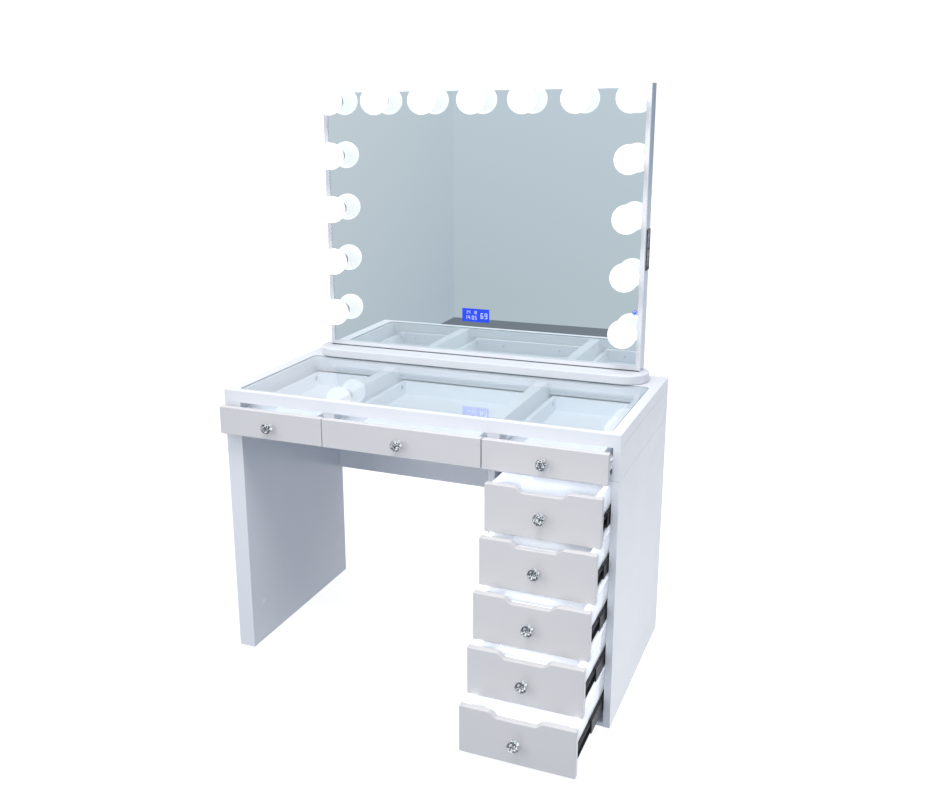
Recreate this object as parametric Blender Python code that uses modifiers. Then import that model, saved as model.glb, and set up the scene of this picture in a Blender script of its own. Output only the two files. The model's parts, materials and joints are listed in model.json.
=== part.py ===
"""Salon styling station: a white dressing desk with a lit mirror on top. Metres, +Z up, front towards -Y."""

import math

import bmesh
import bpy
from mathutils import Vector

MM = 0.001
WELD = 1e-5
# Turns a piece drawn in its own X and Y so that it is thick along the named axis.
TURNS = {
    "X": (math.pi / 2, 0.0, math.pi / 2),
    "Y": (math.pi / 2, 0.0, 0.0),
    "Z": (0.0, 0.0, 0.0),
}

# Desk, in millimetres from its left front bottom corner.
WIDTH = 1120.0
DEPTH = 575.0
HEIGHT = 790.0
BOARD = 18.0
LEG = 50.0
GAP = 0.3
UNIT_Z = 673.0  # underside of the top unit
FLOOR = 15.0  # floor board of the top unit
FRAME_Z = 757.0  # underside of the glazed frame
INNER_X = 785.0  # pedestal side towards the kneehole
BACK_RAIL_Z = 382.0  # lower edge of the board across the kneehole
PED_TOP_Z = 657.0
PED_BOTTOM = 11.0
DIVIDERS = ((312.0, 344.0), (781.0, 813.0))

# Glazed opening of the top frame.
GLASS = (35.0, 1093.0, 20.0, 452.0)
LEDGE = (50.0, 1076.0, 35.0, 420.0)
GLASS_T = 7.8
GLASS_Z = 781.7

# Drawers. OPEN is how far each stands out of the desk at rest.
TOP_FRONTS = ((3.0, 324.0), (326.0, 776.5), (779.0, 1100.0))
TOP_BAYS = ((50.0, 312.0), (344.0, 781.0), (813.0, 1102.0))
TOP_NAMES = ("left", "middle", "right")
TOP_Z = (671.5, 749.8)
TOP_OPEN = 14.5
TOP_DEPTH = 430.0
FRONT_X = (805.0, 1100.0)
FRONT_TOP = 654.2
FRONT_H = 126.2
PITCH = 128.6
OPEN = (80.7, 116.7, 158.3, 197.6, 252.5)
DRAWER_DEPTH = 500.0
BOX_LIFT = 34.0
BOX_H = 88.0
WALL = 12.0
NOTCH = 13.0

# Ball slides beside the drawers.
SLIDE_LIFT = 50.0
SLIDE_Y = 20.0  # front ends of the fixed members, behind a closed drawer front
SLIDE_LEN = 500.0
SLIDE_GAP = 12.7
SHEET = 1.5

# Knobs.
KNOB_R = 15.0
KNOB_OUT = 30.0

# Mirror.
MIRROR_X = (63.0, 1051.0)
MIRROR_Z = (816.3, 1600.0)
MIRROR_Y = (508.8, 562.8)
BEZEL = 13.0
BASE_X = (37.0, 1077.0)
BASE_Y = (443.0, 573.0)
BULB_R = 40.0
BULB_OUT = 47.0
BULB_X = tuple(107.0 + 150.0 * i for i in range(7))
BULB_Z = tuple(1562.0 - 158.0 * i for i in range(5))
CLOCK = (511.0, 597.0, 922.0, 962.0)
OUTLET_Z = (1100.0, 1214.0)

# The origin is the bottom centre of the whole object, knob of the lowest drawer included.
ORIGIN = Vector((WIDTH / 2, (DEPTH - OPEN[4] - GAP - KNOB_OUT) / 2, 0.0))


def place(x, y, z):
    """A point in metres in the shared frame."""
    return (Vector((x, y, z)) - ORIGIN) * MM


def clear():
    for obj in list(bpy.data.objects):
        bpy.data.objects.remove(obj)


def collection(name):
    made = bpy.data.collections.new(name)
    bpy.context.scene.collection.children.link(made)
    return made


clear()
PARTS = collection("salon_styling_station")
CUTTERS = collection("cutters")
MATERIALS = {}


def material(name, colour, metallic=0.0, roughness=0.4, transmission=0.0, glow=0.0):
    made = bpy.data.materials.new(name)
    made.use_nodes = True
    shader = made.node_tree.nodes["Principled BSDF"]
    shader.inputs["Base Color"].default_value = (*colour, 1.0)
    shader.inputs["Metallic"].default_value = metallic
    shader.inputs["Roughness"].default_value = roughness
    shader.inputs["Transmission Weight"].default_value = transmission
    shader.inputs["Emission Color"].default_value = (*colour, 1.0)
    shader.inputs["Emission Strength"].default_value = glow
    MATERIALS[name] = made


def finish(name, mesh_data, centre, mat, group, bevel, parent):
    obj = bpy.data.objects.new(name, mesh_data)
    obj.location = centre
    group.objects.link(obj)
    if mat:
        mesh_data.materials.append(MATERIALS[mat])
    if group is CUTTERS:
        obj.hide_render = True
        obj.display_type = "WIRE"
    if bevel:
        edge = obj.modifiers.new("edges", "BEVEL")
        edge.width = bevel * MM
        edge.segments = 1
        edge.limit_method = "ANGLE"
    if parent:
        obj.parent = parent
        obj.location = Vector(centre) - parent.location
    return obj


def box(name, xs, ys, zs, mat=None, bevel=0.0, group=None, parent=None):
    """A board given by its limits in millimetres."""
    bm = bmesh.new()
    bmesh.ops.create_cube(bm, size=MM)
    size = (xs[1] - xs[0], ys[1] - ys[0], zs[1] - zs[0])
    bmesh.ops.scale(bm, verts=bm.verts, vec=size)
    data = bpy.data.meshes.new(name)
    bm.to_mesh(data)
    bm.free()
    centre = place((xs[0] + xs[1]) / 2, (ys[0] + ys[1]) / 2, (zs[0] + zs[1]) / 2)
    return finish(name, data, centre, mat, group or PARTS, bevel, parent)


def slab(name, outline, axis, span, mat=None, bevel=0.0, group=None, parent=None):
    """A flat outline of (u, v) points in millimetres, made thick along one axis between two limits."""
    us = [u for u, _ in outline]
    vs = [v for _, v in outline]
    mid_u = (min(us) + max(us)) / 2
    mid_v = (min(vs) + max(vs)) / 2
    flat = bpy.data.curves.new(name, "CURVE")
    flat.dimensions = "2D"
    flat.fill_mode = "BOTH"
    flat.extrude = (span[1] - span[0]) / 2 * MM
    spline = flat.splines.new("POLY")
    spline.points.add(len(outline) - 1)
    for point, (u, v) in zip(spline.points, outline):
        point.co = ((u - mid_u) * MM, (v - mid_v) * MM, 0.0, 1.0)
    spline.use_cyclic_u = True
    curve = bpy.data.objects.new(name + "_outline", flat)
    data = bpy.data.meshes.new_from_object(curve)
    bpy.data.objects.remove(curve)
    bm = bmesh.new()
    bm.from_mesh(data)
    bmesh.ops.remove_doubles(bm, verts=bm.verts, dist=WELD)
    bmesh.ops.recalc_face_normals(bm, faces=bm.faces)
    bm.to_mesh(data)
    bm.free()
    mid_w = (span[0] + span[1]) / 2
    middle = {"X": (mid_w, mid_u, mid_v), "Y": (mid_u, mid_w, mid_v), "Z": (mid_u, mid_v, mid_w)}[axis]
    obj = finish(name, data, place(*middle), mat, group or PARTS, bevel, parent)
    obj.rotation_euler = TURNS[axis]
    return obj


def turned(name, profile, centre, steps, mat=None, group=None, parent=None):
    """A turned piece that stands out towards the sitter. Its profile of (height, radius) runs from the
    tip down to the root, and both ends lie on the axis."""
    points = [(radius * MM, 0.0, height * MM) for height, radius in profile]
    edges = [(i, i + 1) for i in range(len(points) - 1)]
    data = bpy.data.meshes.new(name)
    data.from_pydata(points, edges, [])
    obj = finish(name, data, place(*centre), mat, group or PARTS, 0.0, parent)
    obj.rotation_euler = TURNS["Y"]
    spin = obj.modifiers.new("turn", "SCREW")
    spin.steps = steps
    spin.render_steps = steps
    spin.use_merge_vertices = True
    spin.merge_threshold = WELD
    return obj


def boolean(obj, other, operation="DIFFERENCE"):
    step = obj.modifiers.new(operation.lower(), "BOOLEAN")
    step.operation = operation
    step.solver = "EXACT"
    step.object = other
    return obj


def rounded(xs, ys, radius, steps=5):
    """Outline of a rectangle with round corners."""
    points = []
    corners = (
        (xs[1] - radius, ys[0] + radius, -90),
        (xs[1] - radius, ys[1] - radius, 0),
        (xs[0] + radius, ys[1] - radius, 90),
        (xs[0] + radius, ys[0] + radius, 180),
    )
    for cx, cy, start in corners:
        for i in range(steps + 1):
            turn = math.radians(start + 90.0 * i / steps)
            points.append((cx + radius * math.cos(turn), cy + radius * math.sin(turn)))
    return points


def holder(name, x, y, z):
    """An empty that carries one drawer."""
    empty = bpy.data.objects.new(name, None)
    empty.empty_display_size = 0.05
    empty.location = place(x, y, z)
    PARTS.objects.link(empty)
    return empty


def pedestal():
    box("left_leg", (0, LEG), (0, DEPTH), (0, UNIT_Z - GAP), "lacquer", 0.5)
    right = (WIDTH - BOARD, WIDTH)
    box("pedestal_side_outer", right, (0, DEPTH), (0, UNIT_Z - GAP), "lacquer", 0.4)
    back_y = DEPTH - BOARD
    inner = (INNER_X, INNER_X + BOARD)
    box("pedestal_side_inner", inner, (0, back_y - GAP), (0, UNIT_Z - GAP), "lacquer", 1.0)
    between = (INNER_X + BOARD + GAP, WIDTH - BOARD - GAP)
    ys = (2.0, back_y - GAP)
    box("pedestal_top", between, ys, (PED_TOP_Z, UNIT_Z - GAP), "lacquer", 0.8)
    box("pedestal_bottom", between, ys, (0, PED_BOTTOM), "lacquer", 0.8)
    left = LEG + GAP
    outline = (
        (left, BACK_RAIL_Z),
        (INNER_X, BACK_RAIL_Z),
        (INNER_X, 0.0),
        (between[1], 0.0),
        (between[1], UNIT_Z - GAP),
        (left, UNIT_Z - GAP),
    )
    slab("back_board", outline, "Y", (back_y, DEPTH), "lacquer", 0.8)


def top_unit():
    case = box("top_case", (0, WIDTH), (0, DEPTH), (UNIT_Z, FRAME_Z - GAP), "lacquer", 0.3)
    inside = box(
        "case_inside",
        (LEG, WIDTH - BOARD),
        (-20, DEPTH - BOARD),
        (UNIT_Z + FLOOR, FRAME_Z + 20),
        group=CUTTERS,
    )
    boolean(case, inside)
    frame = box("top_frame", (0, WIDTH), (0, DEPTH), (FRAME_Z, HEIGHT), "lacquer", 0.4)
    opening = rounded(LEDGE[:2], LEDGE[2:], 10.0)
    seat = rounded(GLASS[:2], GLASS[2:], 16.0)
    boolean(frame, slab("frame_opening", opening, "Z", (FRAME_Z - 9, HEIGHT + 9), group=CUTTERS))
    boolean(frame, slab("glass_seat", seat, "Z", (GLASS_Z - GAP, HEIGHT + 9), group=CUTTERS))
    pane = rounded((GLASS[0] + 0.5, GLASS[1] - 0.5), (GLASS[2] + 0.5, GLASS[3] - 0.5), 15.5)
    slab("glass_top", pane, "Z", (GLASS_Z, GLASS_Z + GLASS_T), "clear_glass", 0.6)
    floor_z = UNIT_Z + FLOOR + GAP
    back = DEPTH - BOARD - GAP
    for label, (x0, x1) in zip(("left", "right"), DIVIDERS):
        outline = (
            (4.0, floor_z),
            (back, floor_z),
            (back, FRAME_Z - 2 * GAP),
            (LEDGE[3] - 8.0, FRAME_Z - 2 * GAP),
            (LEDGE[3] - 8.0, GLASS_Z - 0.4),
            (LEDGE[2] + 0.4, GLASS_Z - 0.4),
            (LEDGE[2] + 0.4, FRAME_Z - 2 * GAP),
            (4.0, FRAME_Z - 2 * GAP),
        )
        slab("bay_divider_" + label, outline, "X", (x0, x1), "lacquer", 0.8)


def knob(name, x, y, z, parent):
    """Round metal foot with a cut-glass ball in front of it."""
    r = KNOB_R
    profile = (
        (KNOB_OUT, 0.0),
        (KNOB_OUT, r * 0.3),
        (27.5, r * 0.62),
        (23.0, r * 0.9),
        (19.0, r),
        (14.0, r * 0.9),
        (9.5, 9.5),
        (8.0, 6.5),
        (4.5, 7.0),
        (2.5, 10.5),
        (0.0, 10.5),
        (0.0, 0.0),
    )
    turned(name, profile, (x, y, z), 12, "crystal", parent=parent)


def drawer_box(name, xs, ys, zs, lip, rail, parent):
    """Open box with a raised floor; the front wall is lower by lip. rail is (z0, z1) of its slide members."""
    body = box(name, xs, ys, zs, "lacquer_inside", parent=parent)
    floor_z = zs[0] + 6.0
    inner_x = (xs[0] + WALL, xs[1] - WALL)
    inner_y = (ys[0] + WALL, ys[1] - WALL)
    boolean(body, box(name + "_well", inner_x, inner_y, (floor_z + 6.0, zs[1] + 20), group=CUTTERS))
    under = box(name + "_under", inner_x, inner_y, (zs[0] - 20, floor_z), group=CUTTERS)
    boolean(body, under)
    if lip:
        mouth_y = (ys[0] - 20, inner_y[0] + 5)
        low = box(name + "_lip", inner_x, mouth_y, (zs[1] - lip, zs[1] + 9), group=CUTTERS)
        boolean(body, low)
    for x0, x1 in ((xs[0] - 8.1, xs[0] + 4.0), (xs[1] - 4.0, xs[1] + 8.1)):
        member = box(name + "_member", (x0, x1), (ys[0] + 1.0, ys[1] - 3.0), rail, group=CUTTERS)
        boolean(body, member, "UNION")
    return body


def top_drawers():
    for label, front, bay in zip(TOP_NAMES, TOP_FRONTS, TOP_BAYS):
        name = "top_drawer_" + label
        mid_x = (front[0] + front[1]) / 2
        mid_z = (TOP_Z[0] + TOP_Z[1]) / 2
        face_y = -BOARD - TOP_OPEN
        carrier = holder(name, mid_x, face_y, mid_z)
        box(name + "_front", front, (face_y, face_y + BOARD), TOP_Z, "lacquer", 1.2, parent=carrier)
        knob(name + "_knob", mid_x, face_y - GAP, mid_z - 2.0, carrier)
        xs = (bay[0] + SLIDE_GAP, bay[1] - SLIDE_GAP)
        start = face_y + BOARD + GAP
        rail = (700.5, 723.5)
        drawer_box(name + "_box", xs, (start, start + TOP_DEPTH), (690.5, 741.0), 0.0, rail, carrier)
        bay_rack(label, bay)


def bay_rack(label, bay):
    """Fixed slide members of one top drawer, joined under it by two strips."""
    low = UNIT_Z + FLOOR + GAP
    ys = (14.0, 424.0)
    rack = box("bay_slides_" + label, (bay[0] + GAP, bay[1] - GAP), ys, (low, 731.0), "runner_white")
    wide = (bay[0] + GAP + SHEET, bay[1] - GAP - SHEET)
    boolean(rack, box("rack_well_" + label, wide, (0, 450), (low + SHEET, 729.5), group=CUTTERS))
    clear_x = (bay[0] + 9.5, bay[1] - 9.5)
    boolean(rack, box("rack_mouth_" + label, clear_x, (0, 450), (low + SHEET, 740), group=CUTTERS))
    for i, cut in enumerate(((0, 40), (70, 350), (380, 450))):
        floor_cut = box("rack_floor_%s_%d" % (label, i), wide, cut, (low - 9, low + 5), group=CUTTERS)
        boolean(rack, floor_cut)


def notched(xs, zs, depth):
    """Front outline with a shallow dip in its upper edge, eased at the shoulders."""
    mid = (xs[0] + xs[1]) / 2 - 2.0
    points = [(xs[0], zs[0]), (xs[1], zs[0]), (xs[1], zs[1])]
    steps = 6
    for side in (1, -1):
        curve = []
        for i in range(steps + 1):
            t = i / steps
            ease = t * t * (3 - 2 * t)
            curve.append((mid + side * (70.0 - 23.0 * t), zs[1] - depth * ease))
        points += curve if side == 1 else list(reversed(curve))
    points.append((xs[0], zs[1]))
    return points


def channel(x_web, x_lip, z, half):
    """Outline of a sheet channel: web at x_web, flanges reaching x_lip."""
    turn = 1.0 if x_lip > x_web else -1.0
    inner = x_web + turn * SHEET
    return (
        (x_web, z - half),
        (x_lip, z - half),
        (x_lip, z - half + SHEET),
        (inner, z - half + SHEET),
        (inner, z + half - SHEET),
        (x_lip, z + half - SHEET),
        (x_lip, z + half),
        (x_web, z + half),
    )


def pedestal_drawers():
    bay = (INNER_X + BOARD, WIDTH - BOARD)
    xs = (bay[0] + SLIDE_GAP, bay[1] - SLIDE_GAP)
    mid_x = (FRONT_X[0] + FRONT_X[1]) / 2 - 2.0
    for i, out in enumerate(OPEN):
        name = "drawer_%d" % (i + 1)
        z1 = FRONT_TOP - PITCH * i
        z0 = z1 - FRONT_H
        carrier = holder(name, mid_x, -out, (z0 + z1) / 2)
        outline = notched(FRONT_X, (z0, z1), NOTCH)
        slab(name + "_front", outline, "Y", (-out, BOARD - out), "lacquer", 1.2, parent=carrier)
        knob(name + "_knob", mid_x, -out - GAP, z0 + 59.5, carrier)
        start = BOARD - out + GAP
        zs = (z0 + BOX_LIFT, z0 + BOX_LIFT + BOX_H)
        rail = (z0 + SLIDE_LIFT - 13.0, z0 + SLIDE_LIFT + 13.0)
        drawer_box(name + "_box", xs, (start, start + DRAWER_DEPTH), zs, 14.0, rail, carrier)
        z = z0 + SLIDE_LIFT
        ys = (SLIDE_Y - out / 2, SLIDE_Y - out / 2 + SLIDE_LEN)
        left = channel(bay[0] + 2.6, bay[0] + 10.6, z, 18.0)
        right = channel(bay[1] - 2.6, bay[1] - 10.6, z, 18.0)
        slab("slide_%d_left" % (i + 1), left, "Y", ys, "slide_steel")
        slab("slide_%d_right" % (i + 1), right, "Y", ys, "slide_steel")
    for label, wall, turn in (("left", bay[0] + GAP, 1.0), ("right", bay[1] - GAP, -1.0)):
        slide_rack(label, wall, turn)


def slide_rack(label, wall, turn):
    """Five fixed slide members on one side of the pedestal, joined by two thin strips."""
    heights = [FRONT_TOP - PITCH * i - FRONT_H + SLIDE_LIFT for i in range(5)]
    rack = None
    for i, z in enumerate(heights):
        outline = channel(wall, wall + turn * 9.2, z, 22.5)
        group = CUTTERS if rack else PARTS
        name = "rack_%s_%d" % (label, i) if rack else "slide_rack_" + label
        made = slab(name, outline, "Y", (SLIDE_Y, SLIDE_Y + SLIDE_LEN), "slide_steel", group=group)
        if rack:
            boolean(rack, made, "UNION")
        rack = rack or made
    xs = sorted((wall, wall + turn * SHEET))
    for j, y in enumerate((60.0, 440.0)):
        strip = box("strip_%s_%d" % (label, j), xs, (y, y + 22), (heights[4], heights[0]), group=CUTTERS)
        boolean(rack, strip, "UNION")


def lamp_profile():
    """Globe, neck and holder of one lamp, from its tip back to its root behind the mirror."""
    neck = math.pi - math.asin(17.0 / BULB_R)
    steps = 11
    points = []
    for i in range(steps):
        turn = neck * i / steps
        points.append((BULB_OUT + BULB_R * math.cos(turn), BULB_R * math.sin(turn)))
    points += [(6.0, 19.5), (2.5, 19.5), (2.5, 17.0), (-16.0, 17.0), (-16.0, 0.0)]
    return points


def lamp_row(name, rail_x, rail_z, spots):
    """One side of the lamp frame: a rail behind the mirror that carries its lamps."""
    face = MIRROR_Y[0]
    rail = box(name, rail_x, (face + 14, face + 20), rail_z, "lamp_white")
    for i, (x, z) in enumerate(spots):
        lamp = turned("%s_%d" % (name, i), lamp_profile(), (x, face, z), 20, group=CUTTERS)
        boolean(rail, lamp, "UNION")
    return rail


def mirror():
    base = rounded(BASE_X, BASE_Y, (BASE_Y[1] - BASE_Y[0]) / 2 - 0.01, 10)
    slab("mirror_base", base, "Z", (HEIGHT + GAP, MIRROR_Z[0] - GAP), "lacquer", 2.5)
    face = MIRROR_Y[0]
    ring = box("mirror_frame", MIRROR_X, (face, face + 11.2), MIRROR_Z, "lacquer", 0.8)
    inner_x = (MIRROR_X[0] + BEZEL, MIRROR_X[1] - BEZEL)
    inner_z = (MIRROR_Z[0] + BEZEL, MIRROR_Z[1] - BEZEL)
    seat_x = (MIRROR_X[0] + 5.0, MIRROR_X[1] - 5.0)
    seat_z = (MIRROR_Z[0] + 5.0, MIRROR_Z[1] - 5.0)
    boolean(ring, box("frame_window", inner_x, (face - 9, face + 30), inner_z, group=CUTTERS))
    boolean(ring, box("frame_seat", seat_x, (face + 2.5, face + 30), seat_z, group=CUTTERS))
    pane_x = (seat_x[0] + 0.5, seat_x[1] - 0.5)
    pane_z = (seat_z[0] + 0.5, seat_z[1] - 0.5)
    pane = box("mirror_glass", pane_x, (face + 2.8, face + 7.8), pane_z, "mirror")
    spots = [(x, BULB_Z[0]) for x in BULB_X]
    spots += [(x, z) for x in (BULB_X[0], BULB_X[-1]) for z in BULB_Z[1:]]
    for i, (x, z) in enumerate(spots):
        profile = ((9.0, 0.0), (9.0, 18.0), (-20.0, 18.0), (-20.0, 0.0))
        hole = turned("hole_%d" % i, profile, (x, face, z), 20, group=CUTTERS)
        boolean(pane, hole)
    window = box("clock_window", CLOCK[:2], (face - 9, face + 30), CLOCK[2:], group=CUTTERS)
    boolean(pane, window)
    clock_x = (CLOCK[0] + 0.4, CLOCK[1] - 0.4)
    clock_z = (CLOCK[2] + 0.4, CLOCK[3] - 0.4)
    box("clock_display", clock_x, (face + 2.8, face + 12.0), clock_z, "display_blue")
    tray = box("mirror_housing", MIRROR_X, (face + 11.5, MIRROR_Y[1]), MIRROR_Z, "silver_paint", 0.8)
    hollow_x = (MIRROR_X[0] + 3.0, MIRROR_X[1] - 3.0)
    hollow_z = (MIRROR_Z[0] + 3.0, MIRROR_Z[1] - 3.0)
    hollow = box("housing_hollow", hollow_x, (face - 9, MIRROR_Y[1] - 3), hollow_z, group=CUTTERS)
    boolean(tray, hollow)
    slot_x = (MIRROR_X[1] - 30, MIRROR_X[1] + 9)
    slot = box("outlet_slot", slot_x, (face + 16, face + 48), (1106, 1208), group=CUTTERS)
    boolean(tray, slot)
    outlet()
    profile = ((-1.2, 0.0), (-1.2, 7.0), (-2.6, 7.0), (-2.6, 0.0))
    turned("touch_dimmer", profile, (1029.0, face, 983.0), 20, "display_blue")
    rail_z = (BULB_Z[0] - 12, BULB_Z[0] + 12)
    lamp_row("lamps_top", (BULB_X[0] - 22, BULB_X[-1] + 22), rail_z, [(x, BULB_Z[0]) for x in BULB_X])
    side_z = (BULB_Z[-1] - 22, BULB_Z[1] + 22)
    for label, x in (("left", BULB_X[0]), ("right", BULB_X[-1])):
        lamp_row("lamps_" + label, (x - 12, x + 12), side_z, [(x, z) for z in BULB_Z[1:]])


def outlet():
    """Socket strip let into the right side of the mirror housing."""
    face = MIRROR_Y[0]
    side = MIRROR_X[1]
    plate_x = (side + GAP, side + 2.3)
    plate = box("outlet_module", plate_x, (face + 13, face + 51), OUTLET_Z, "socket_black", 0.5)
    body_y = (face + 16.4, face + 47.6)
    body = box("outlet_body", (side - 26, side + 1), body_y, (1106.4, 1207.6), group=CUTTERS)
    boolean(plate, body, "UNION")


def main():
    material("lacquer", (0.86, 0.86, 0.87), roughness=0.3)
    material("lacquer_inside", (0.84, 0.84, 0.85), roughness=0.45)
    material("clear_glass", (0.85, 0.95, 0.93), roughness=0.02, transmission=1.0)
    material("crystal", (0.9, 0.92, 0.94), roughness=0.03, transmission=0.9)
    material("slide_steel", (0.03, 0.03, 0.035), metallic=0.6, roughness=0.35)
    material("runner_white", (0.85, 0.85, 0.86), roughness=0.4)
    material("mirror", (0.8, 0.83, 0.85), metallic=1.0, roughness=0.02)
    material("silver_paint", (0.55, 0.6, 0.64), metallic=0.5, roughness=0.35)
    material("socket_black", (0.03, 0.03, 0.03), roughness=0.4)
    material("display_blue", (0.05, 0.2, 0.95), roughness=0.3, glow=1.5)
    material("lamp_white", (1.0, 1.0, 0.98), roughness=0.3, glow=3.0)
    pedestal()
    top_unit()
    top_drawers()
    pedestal_drawers()
    mirror()


main()
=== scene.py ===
"""Salon styling station: finishes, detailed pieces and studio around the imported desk. Metres, +Z up, front to -Y."""

import json
import math

import bmesh
import bpy
from bpy.props import FloatProperty, FloatVectorProperty, PointerProperty
from mathutils import Matrix, Vector

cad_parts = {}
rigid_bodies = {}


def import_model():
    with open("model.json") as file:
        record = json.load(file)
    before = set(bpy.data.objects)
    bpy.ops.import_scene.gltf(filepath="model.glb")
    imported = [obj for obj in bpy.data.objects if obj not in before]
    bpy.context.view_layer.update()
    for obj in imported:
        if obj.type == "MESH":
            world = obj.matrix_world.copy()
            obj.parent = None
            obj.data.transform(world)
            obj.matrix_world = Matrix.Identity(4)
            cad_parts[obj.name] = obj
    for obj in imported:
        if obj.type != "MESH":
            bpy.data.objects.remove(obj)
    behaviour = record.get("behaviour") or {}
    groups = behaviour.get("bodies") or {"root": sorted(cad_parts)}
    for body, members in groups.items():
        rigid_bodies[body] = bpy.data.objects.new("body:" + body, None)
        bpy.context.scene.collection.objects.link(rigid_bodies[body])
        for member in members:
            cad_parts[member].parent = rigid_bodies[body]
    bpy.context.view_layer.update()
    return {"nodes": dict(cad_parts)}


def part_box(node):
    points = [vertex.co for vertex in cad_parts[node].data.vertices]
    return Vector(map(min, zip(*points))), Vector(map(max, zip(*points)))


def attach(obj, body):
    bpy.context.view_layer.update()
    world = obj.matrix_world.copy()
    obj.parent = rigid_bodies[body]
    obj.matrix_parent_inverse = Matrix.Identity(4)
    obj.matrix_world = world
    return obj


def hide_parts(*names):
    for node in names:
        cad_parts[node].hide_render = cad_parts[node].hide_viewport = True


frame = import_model()

bl_info = {
    "name": "Salon styling station",
    "version": (1, 0, 0),
    "blender": (4, 5, 0),
    "location": "3D View > Sidebar > Station",
    "description": "Finishes and detailed pieces of a lit dressing desk with drawers",
    "category": "Object",
}

MM = 0.001
TOP_NAMES = ("left", "middle", "right")
DRAWERS = range(1, 6)
SIDES = ("left", "right")
LACQUERED_BOARDS = (
    "left_leg", "pedestal_side_outer", "pedestal_side_inner", "pedestal_top",
    "pedestal_bottom", "back_board", "top_case", "top_frame",
)
TOP_DRAWERS = ["top_drawer_" + side for side in TOP_NAMES]
PEDESTAL_DRAWERS = ["drawer_%d" % i for i in DRAWERS]

# Each turns a piece drawn upwards so that it points along the named direction.
TO_FRONT = Matrix.Rotation(math.pi / 2, 4, "X")
TO_BACK = Matrix.Rotation(-math.pi / 2, 4, "X")
TO_RIGHT = Matrix.Rotation(math.pi / 2, 4, "Y")
TO_LEFT = Matrix.Rotation(-math.pi / 2, 4, "Y")


def linear(hex_colour):
    """Linear colour of an sRGB hex value."""
    values = [int(hex_colour[i : i + 2], 16) / 255 for i in (0, 2, 4)]
    return [v / 12.92 if v <= 0.04045 else ((v + 0.055) / 1.055) ** 2.4 for v in values]


def size(name, default, description):
    """A length property, given in millimetres."""
    return FloatProperty(name=name, description=description, default=default * MM, unit="LENGTH", precision=4)


def colour(name, hex_colour, description):
    return FloatVectorProperty(
        name=name, description=description, default=linear(hex_colour), size=3, min=0, max=1, subtype="COLOR"
    )


class StationSizes(bpy.types.PropertyGroup):
    """Sizes of the details that stand for the plain solids."""

    front_edge: size("Front edge", 1.7, "Radius of the rubbed-down edges of the drawer fronts")
    notch_depth: size("Finger dip", 13.0, "Depth of the dip in the upper edge of a drawer front")
    notch_half: size("Dip shoulder", 70.0, "Half the width of the dip at the top of its shoulders")
    notch_run: size("Shoulder run", 23.0, "Width of one shoulder of the dip")
    notch_shift: size("Dip offset", -2.0, "How far the middle of the dip lies from the middle of the front")
    wall: size("Drawer wall", 12.0, "Thickness of the drawer sides")
    lip: size("Front lip", 14.0, "How much lower the inner front of a pedestal drawer is")
    member_out: size("Slide member", 8.1, "How far a slide member stands out of a drawer side")
    sheet: size("Slide sheet", 1.3, "Thickness of the formed slide steel")
    ball_pitch: size("Ball pitch", 7.0, "Spacing of the balls in a slide cage")
    knob_radius: size("Knob radius", 15.0, "Radius of the cut-glass knob at its girdle")
    knob_out: size("Knob length", 30.0, "How far the knob stands out of the front")
    globe_radius: size("Lamp globe", 40.0, "Radius of an opal lamp globe")
    globe_out: size("Lamp stand-off", 47.0, "From the face of the mirror frame to the middle of a globe")
    glass_arris: size("Glass arris", 1.3, "Ground corner along the edge of the glass top")


class StationColours(bpy.types.PropertyGroup):
    """Colours of the finishes."""

    lacquer: colour("Carcass lacquer", "E2E4E9", "White film on the boards of the desk")
    front: colour("Front lacquer", "D1D0D1", "White film on the drawer fronts, a shade greyer")
    lacquer_inside: colour("Drawer insides", "F6F8FC", "Foil on the drawer sides and floors")
    glass: colour("Glass", "F5F9FB", "Body tint of the glass top")
    glass_edge: colour("Glass edge", "A9D3D6", "Tint seen along the edge of the glass")
    mirror: colour("Mirror", "EAF1F3", "Reflectance of the silvered mirror")
    housing: colour("Mirror housing", "C8D4DC", "Silver paint on the mirror housing")
    slide: colour("Ball slides", "1B1C20", "Black coat on the ball slides")
    zinc: colour("Zinc", "C3C7CA", "Screws, cams and slide balls")
    chrome: colour("Chrome", "E3E6E8", "Knob feet")
    crystal: colour("Cut glass", "F7FAFC", "Knobs")
    socket: colour("Socket plastic", "1E2022", "Socket strip")
    socket_face: colour("Socket inserts", "7D868D", "Inserts of the socket strip")
    display: colour("Display", "1F49F0", "Back light of the clock")
    digits: colour("Digits", "E9F0FF", "Digits of the clock")
    lamp: colour("Lamp light", "FFFEFC", "Light of the opal globes")
    fitting: colour("Lamp collars", "EDEEF0", "Lamp collars and rails")
    # Painted reflection: a dark grey for some knob facets, in place of the dark of the room that they would reflect.
    facet_painted_dark: colour("Dark facet", "4A5056", "Knob facets that show the dark of the room")
    # Painted shadow: the dark of the strips that stand for the shadow lines under the mirror and its base plate.
    shadow_strip_rubber: colour("Rubber", "3C4044", "Gaskets under the mirror and its base plate")


def add(tree, kind, inputs=None, **settings):
    """One node with its settings. inputs takes socket names or numbers to values or to other nodes' outputs."""
    node = tree.nodes.new("ShaderNode" + kind)
    for name, value in settings.items():
        setattr(node, name, value)
    for name, value in (inputs or {}).items():
        if isinstance(value, bpy.types.NodeSocket):
            tree.links.new(value, node.inputs[name])
        else:
            node.inputs[name].default_value = value
    return node


def per_metre(millimetres):
    """Texture scale for a pattern that repeats about every so many millimetres."""
    return 1000 / millimetres


def scaled(profile):
    """A profile given in millimetres, in metres."""
    return [(u * MM, v * MM) for u, v in profile]


def rgba(values, gain=1.0):
    """A colour with its opacity, made lighter or darker by a gain."""
    return (*(min(1.0, v * gain) for v in values), 1.0)


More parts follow.
